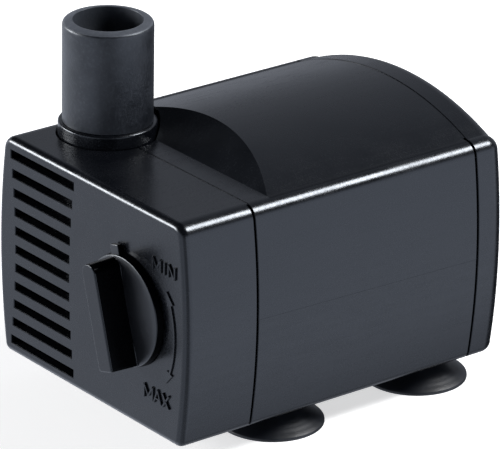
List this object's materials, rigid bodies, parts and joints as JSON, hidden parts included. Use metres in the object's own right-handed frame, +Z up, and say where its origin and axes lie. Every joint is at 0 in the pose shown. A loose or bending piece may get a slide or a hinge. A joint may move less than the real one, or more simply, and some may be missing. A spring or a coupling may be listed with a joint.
{
  "type": "fountain submersible pump",
  "caption": "Small submersible fountain pump: slotted intake cover with a flow knob, arched motor casing, upright hose riser, suction cups, and a magnetic rotor with a potted stator inside.",
  "frame": {"origin": "middle of the footprint, on the ground under the suction cups", "axes": "+Z up along the outlet riser; +Y from the slotted intake face to the rear cover; +X to the right seen from the intake face"},
  "size_m": [0.0446, 0.0642, 0.054],
  "materials": {
    "casing_plastic": "fine satin grain, slate black",
    "riser_plastic": "fine satin grain, slate black",
    "knob_plastic": "satin, slate black",
    "inner_plastic": "moulded black",
    "white_plastic": "moulded off-white",
    "black_rubber": "matt black",
    "cup_rubber": "smooth black",
    "ceramic": "polished white ceramic",
    "ferrite": "dark ferrite",
    "lamination_steel": "stamped sheets",
    "copper_winding": "enamelled wire",
    "stainless_clip": "bright",
    "tinned_pin": "tinned",
    "epoxy": "cast black resin"
  },
  "bodies": {
    "housing": {"motor_housing": "casing_plastic", "rear_cover": "casing_plastic", "cable_gland": "black_rubber", "potting_resin": "epoxy", "thermal_fuse": "white_plastic", "terminal_pin_left": "tinned_pin", "terminal_pin_right": "tinned_pin", "stator_coil": "copper_winding", "coil_bobbin": "white_plastic", "stator_core": "lamination_steel", "rotor_can": "inner_plastic", "rotor_shaft": "ceramic", "front_bush": "black_rubber", "rear_bush": "black_rubber", "front_thrust_washer": "ceramic", "rear_thrust_washer": "ceramic", "chamber_seal": "black_rubber", "pump_chamber": "casing_plastic", "chamber_cover": "casing_plastic", "suction_cup_front_left": "cup_rubber", "suction_cup_front_right": "cup_rubber", "suction_cup_rear_left": "cup_rubber", "suction_cup_rear_right": "cup_rubber"},
    "cover": {"front_cover": "casing_plastic"},
    "knob": {"flow_knob": "knob_plastic", "regulator_shutter": "inner_plastic", "knob_retainer": "stainless_clip"},
    "rotor": {"impeller": "white_plastic", "rotor_magnet": "ferrite"},
    "riser": {"outlet_riser": "riser_plastic", "riser_seal": "black_rubber"}
  },
  "joints": [
    {"name": "cover_slide", "type": "slide", "parent": "housing", "child": "cover", "axis": [0, -1, 0], "range_m": [0, 0.015]},
    {"name": "knob_turn", "type": "hinge", "parent": "cover", "child": "knob", "pos_m": [0.009, -0.0265, 0.021], "axis": [0, -1, 0], "range_deg": [0, 90]},
    {"name": "rotor_spin", "type": "hinge", "parent": "housing", "child": "rotor", "pos_m": [0, 0.0005, 0.0224], "axis": [0, 1, 0], "continuous": true},
    {"name": "riser_pull", "type": "slide", "parent": "housing", "child": "riser", "axis": [0, 0, 1], "range_m": [0, 0.012]}
  ]
}
